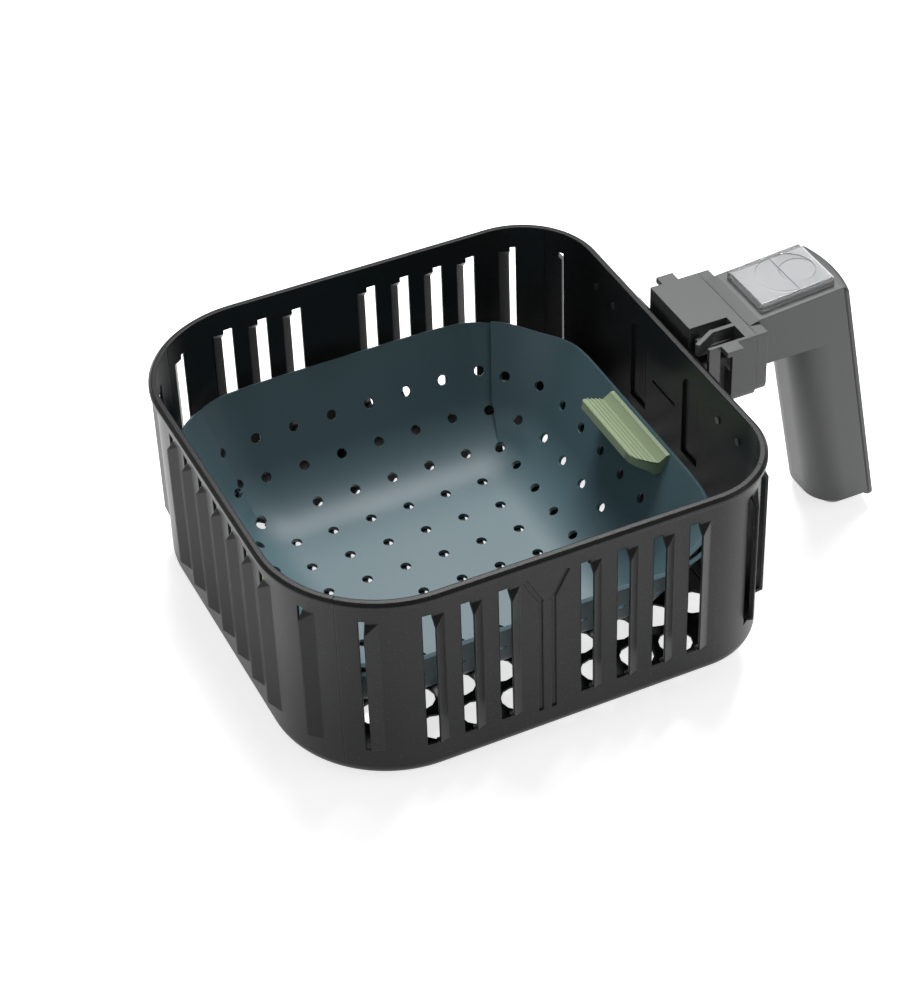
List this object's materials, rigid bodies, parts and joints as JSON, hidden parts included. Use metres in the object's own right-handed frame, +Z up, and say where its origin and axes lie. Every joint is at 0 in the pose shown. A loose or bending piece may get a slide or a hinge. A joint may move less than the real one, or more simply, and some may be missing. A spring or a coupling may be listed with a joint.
{
  "type": "air fryer basket",
  "caption": "Square black louvred air fryer basket with a grey latching handle, a clear sliding button guard and a slate silicone liner with green lift tabs.",
  "frame": {"origin": "centre of the base's underside, the plane the basket would stand on without its handle", "axes": "+Z up out of the basket's mouth, the handle towards -Y, +X to the right seen from the handle"},
  "size_m": [0.2216, 0.324, 0.1348],
  "materials": {
    "coating": "satin non-stick coating with a fine speckle",
    "bracket_steel": "plain",
    "rivet_metal": "plain",
    "grey_plastic": "fine grain",
    "cover_plastic": "fine grain",
    "pale_plastic": "satin",
    "button_plastic": "satin",
    "lever_plastic": "plain",
    "clear_plastic": "clear",
    "liner_silicone": "matte",
    "tab_silicone": "matte"
  },
  "bodies": {
    "basket": {"basket_wall_near": "coating", "basket_wall_far": "coating", "basket_wall_rear": "coating", "basket_wall_handle": "coating", "basket_base": "coating", "handle_bracket": "bracket_steel", "bracket_rivets": "rivet_metal", "latch_housing": "grey_plastic", "handle_screws": "bracket_steel", "handle_shell": "grey_plastic", "handle_cover": "cover_plastic", "button_bezel": "pale_plastic", "lever_pin": "bracket_steel", "button_spring": "bracket_steel"},
    "guard": {"button_guard": "clear_plastic"},
    "button": {"release_button": "button_plastic"},
    "lever": {"release_lever": "lever_plastic"},
    "liner": {"liner_base": "liner_silicone", "liner_flap_near": "liner_silicone", "liner_flap_far": "liner_silicone", "liner_flap_rear": "liner_silicone", "liner_flap_handle": "liner_silicone", "liner_tab_front": "tab_silicone", "liner_tab_rear": "tab_silicone"}
  },
  "joints": [
    {"name": "guard_slide", "type": "slide", "parent": "basket", "child": "guard", "axis": [0, 0.9969, -0.0785], "range_m": [0, 0.022]},
    {"name": "button_press", "type": "slide", "parent": "basket", "child": "button", "axis": [0, -0.0785, -0.9969], "range_m": [0, 0.003], "stiffness_N_per_m": 300, "deforming": ["button_spring"]},
    {"name": "lever_rock", "type": "hinge", "parent": "basket", "child": "lever", "pos_m": [0, -0.152, 0.094], "axis": [1, 0, 0], "range_deg": [0, 9]},
    {"name": "liner_lift", "type": "slide", "parent": "basket", "child": "liner", "axis": [0, 0, 1], "range_m": [0, 0.16]}
  ],
  "couplings": [
    {"joint": "lever_rock", "follows": "button_press", "rad_per_m": 52}
  ]
}
